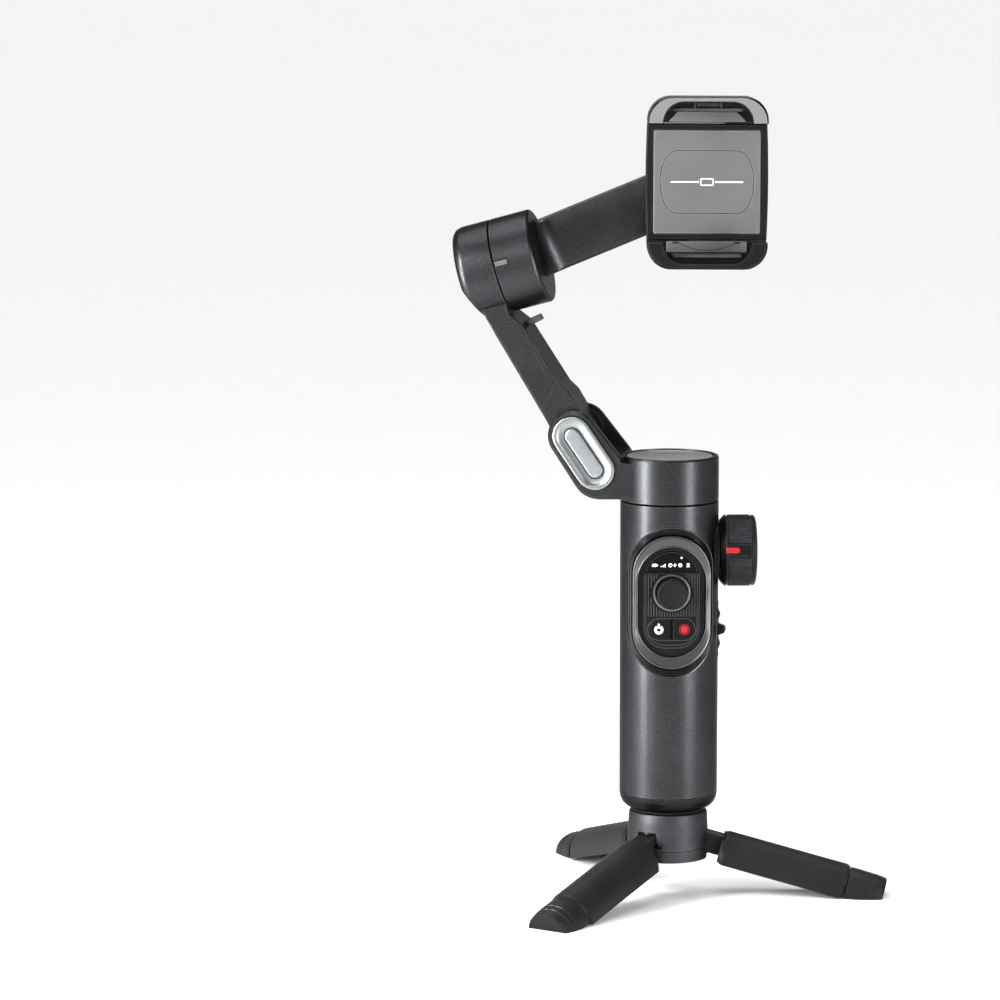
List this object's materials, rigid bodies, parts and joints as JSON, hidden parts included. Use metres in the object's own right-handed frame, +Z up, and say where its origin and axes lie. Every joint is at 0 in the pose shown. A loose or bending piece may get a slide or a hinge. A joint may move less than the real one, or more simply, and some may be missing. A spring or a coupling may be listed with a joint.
{
  "type": "camera gimbal",
  "caption": "Folding three-axis phone gimbal: handle with control panel, jointed arms with motors, sprung phone clamp, and a mini tripod.",
  "frame": {"origin": "the point of the floor under the handle axis, with the mini tripod open and standing on it", "axes": "+Z up along the handle axis, -Y towards the user who faces the control panel, +X towards the side knob"},
  "size_m": [0.1773, 0.1607, 0.3263],
  "materials": {
    "arm1_cable_clip_mat": "brushed",
    "arm1_cover_mat": "satin",
    "arm1_shell_mat": "satin",
    "arm2_cover_mat": "satin",
    "arm2_shell_mat": "satin",
    "battery_cell_mat": "gloss",
    "charging_port_mat": "brushed",
    "clamp_face_plate_mat": "satin",
    "clamp_frame_mat": "satin",
    "display_window_mat": "gloss",
    "foot_pad_1_mat": "matte",
    "foot_pad_2_mat": "matte",
    "foot_pad_3_mat": "matte",
    "handle_bottom_cap_mat": "satin",
    "handle_front_shell_mat": "satin",
    "handle_rear_shell_mat": "satin",
    "hinge_pin_mat": "brushed",
    "hinge_release_button_mat": "polished",
    "joystick_cap_mat": "satin",
    "joystick_gimbal_mat": "brushed",
    "joystick_ring_mat": "satin",
    "knob_axle_mat": "brushed",
    "knob_boss_mat": "satin",
    "knob_face_mat": "satin",
    "knob_pointer_mat": "gloss",
    "knob_red_ring_mat": "gloss",
    "leg_1_mat": "satin",
    "leg_2_mat": "satin",
    "leg_3_mat": "satin",
    "leg_pin_1_mat": "brushed",
    "leg_pin_2_mat": "brushed",
    "leg_pin_3_mat": "brushed",
    "lower_jaw_mat": "satin",
    "lower_jaw_pad_mat": "matte",
    "main_board_mat": "satin",
    "pan_housing_mat": "satin",
    "pan_motor_stator_mat": "dull",
    "pan_shaft_mat": "brushed",
    "pan_top_disc_mat": "satin",
    "panel_bezel_mat": "polished",
    "panel_face_mat": "satin",
    "panel_surround_mat": "gloss",
    "pinion_mat": "brushed",
    "power_button_mat": "gloss",
    "record_button_mat": "gloss",
    "roll_motor_cover_mat": "satin",
    "roll_rotor_mat": "brushed",
    "side_knob_mat": "satin",
    "slider_base_mat": "satin",
    "slider_mark_mat": "gloss",
    "thread_insert_mat": "machined",
    "tilt_shaft_mat": "brushed",
    "tripod_hub_lower_mat": "satin",
    "tripod_hub_upper_mat": "satin",
    "tripod_screw_mat": "brushed",
    "tripod_washer_mat": "matte",
    "upper_jaw_mat": "satin",
    "upper_jaw_pad_mat": "matte",
    "zoom_slider_mat": "satin"
  },
  "bodies": {
    "handle": {"handle_front_shell": "handle_front_shell_mat", "handle_rear_shell": "handle_rear_shell_mat", "handle_bottom_cap": "handle_bottom_cap_mat", "thread_insert": "thread_insert_mat", "battery_cell": "battery_cell_mat", "main_board": "main_board_mat", "pan_motor_stator": "pan_motor_stator_mat", "charging_port": "charging_port_mat", "panel_surround": "panel_surround_mat", "panel_bezel": "panel_bezel_mat", "panel_face": "panel_face_mat", "display_window": "display_window_mat", "joystick_ring": "joystick_ring_mat", "knob_boss": "knob_boss_mat", "slider_base": "slider_base_mat", "tripod_washer": "tripod_washer_mat", "tripod_hub_upper": "tripod_hub_upper_mat", "tripod_hub_lower": "tripod_hub_lower_mat", "tripod_screw": "tripod_screw_mat", "leg_pin_1": "leg_pin_1_mat", "leg_pin_2": "leg_pin_2_mat", "leg_pin_3": "leg_pin_3_mat"},
    "joystick_gimbal": {"joystick_gimbal": "joystick_gimbal_mat"},
    "joystick": {"joystick_cap": "joystick_cap_mat"},
    "power_button": {"power_button": "power_button_mat"},
    "record_button": {"record_button": "record_button_mat"},
    "knob": {"side_knob": "side_knob_mat", "knob_axle": "knob_axle_mat", "knob_face": "knob_face_mat", "knob_red_ring": "knob_red_ring_mat", "knob_pointer": "knob_pointer_mat"},
    "slider": {"zoom_slider": "zoom_slider_mat", "slider_mark": "slider_mark_mat"},
    "pan_head": {"pan_housing": "pan_housing_mat", "pan_shaft": "pan_shaft_mat", "pan_top_disc": "pan_top_disc_mat", "hinge_pin": "hinge_pin_mat"},
    "release": {"hinge_release_button": "hinge_release_button_mat"},
    "lower_arm": {"arm1_shell": "arm1_shell_mat", "arm1_cover": "arm1_cover_mat", "arm1_cable_clip": "arm1_cable_clip_mat"},
    "upper_arm": {"arm2_shell": "arm2_shell_mat", "arm2_cover": "arm2_cover_mat", "tilt_shaft": "tilt_shaft_mat", "roll_motor_cover": "roll_motor_cover_mat"},
    "clamp": {"clamp_frame": "clamp_frame_mat", "clamp_face_plate": "clamp_face_plate_mat", "roll_rotor": "roll_rotor_mat"},
    "pinion": {"pinion": "pinion_mat"},
    "upper_jaw": {"upper_jaw": "upper_jaw_mat", "upper_jaw_pad": "upper_jaw_pad_mat"},
    "lower_jaw": {"lower_jaw": "lower_jaw_mat", "lower_jaw_pad": "lower_jaw_pad_mat"},
    "leg_1": {"leg_1": "leg_1_mat", "foot_pad_1": "foot_pad_1_mat"},
    "leg_2": {"leg_2": "leg_2_mat", "foot_pad_2": "foot_pad_2_mat"},
    "leg_3": {"leg_3": "leg_3_mat", "foot_pad_3": "foot_pad_3_mat"}
  },
  "joints": [
    {"name": "pan", "type": "hinge", "parent": "handle", "child": "pan_head", "pos_m": [0, 0, 0.1716], "axis": [0, 0, 1], "range_deg": [-149, 171]},
    {"name": "fold", "type": "hinge", "parent": "pan_head", "child": "lower_arm", "pos_m": [-0.03681, 0.00715, 0.1895], "axis": [0.1908, 0.9816, 0], "range_deg": [0, 72]},
    {"name": "release_press", "type": "slide", "parent": "pan_head", "child": "release", "axis": [0.1908, 0.9816, 0], "range_m": [0, 0.001], "stiffness_N_per_m": 600},
    {"name": "tilt", "type": "hinge", "parent": "lower_arm", "child": "upper_arm", "pos_m": [-0.06759, 0.01314, 0.2567], "axis": [0.9457, -0.1838, 0.2681], "range_deg": [-160, 120]},
    {"name": "roll", "type": "hinge", "parent": "upper_arm", "child": "clamp", "pos_m": [0.01487, 0.00727, 0.29092], "axis": [0.0405, 0.9983, -0.0419], "range_deg": [-160, 160]},
    {"name": "upper_jaw_slide", "type": "slide", "parent": "clamp", "child": "upper_jaw", "axis": [0.0049, 0.0418, 0.9991], "range_m": [0, 0.0155], "stiffness_N_per_m": 300, "springref_m": -0.004},
    {"name": "lower_jaw_slide", "type": "slide", "parent": "clamp", "child": "lower_jaw", "axis": [-0.0049, -0.0418, -0.9991], "range_m": [0, 0.0155]},
    {"name": "pinion_spin", "type": "hinge", "parent": "clamp", "child": "pinion", "pos_m": [0.01487, 0.00727, 0.29092], "axis": [-0.0405, -0.9983, 0.0419], "range_deg": [0, 170]},
    {"name": "joystick_pitch", "type": "hinge", "parent": "handle", "child": "joystick_gimbal", "pos_m": [0, -0.0145, 0.1269], "axis": [1, 0, 0], "range_deg": [-10, 10], "stiffness_Nm_per_rad": 0.02},
    {"name": "joystick_yaw", "type": "hinge", "parent": "joystick_gimbal", "child": "joystick", "pos_m": [0, -0.0145, 0.1269], "axis": [0, 0, 1], "range_deg": [-10, 10], "stiffness_Nm_per_rad": 0.02},
    {"name": "power_press", "type": "slide", "parent": "handle", "child": "power_button", "axis": [0, 1, 0], "range_m": [0, 0.0006], "stiffness_N_per_m": 400},
    {"name": "record_press", "type": "slide", "parent": "handle", "child": "record_button", "axis": [0, 1, 0], "range_m": [0, 0.0006], "stiffness_N_per_m": 400},
    {"name": "knob_spin", "type": "hinge", "parent": "handle", "child": "knob", "pos_m": [0, 0, 0.1415], "axis": [1, 0, 0], "continuous": true},
    {"name": "zoom_slide", "type": "slide", "parent": "handle", "child": "slider", "axis": [0, 0, 1], "range_m": [-0.0022, 0.0022], "stiffness_N_per_m": 200},
    {"name": "leg_1_fold", "type": "hinge", "parent": "handle", "child": "leg_1", "pos_m": [0.01441, -0.00164, 0.022], "axis": [0.1132, 0.9936, 0], "range_deg": [0, 75]},
    {"name": "leg_2_fold", "type": "hinge", "parent": "handle", "child": "leg_2", "pos_m": [-0.00578, 0.0133, 0.022], "axis": [-0.9171, -0.3987, 0], "range_deg": [0, 75]},
    {"name": "leg_3_fold", "type": "hinge", "parent": "handle", "child": "leg_3", "pos_m": [-0.00863, -0.01166, 0.022], "axis": [0.8039, -0.5948, 0], "range_deg": [0, 75]}
  ],
  "couplings": [
    {"joint": "lower_jaw_slide", "follows": "upper_jaw_slide", "ratio": 1},
    {"joint": "pinion_spin", "follows": "upper_jaw_slide", "rad_per_m": 158.73}
  ]
}
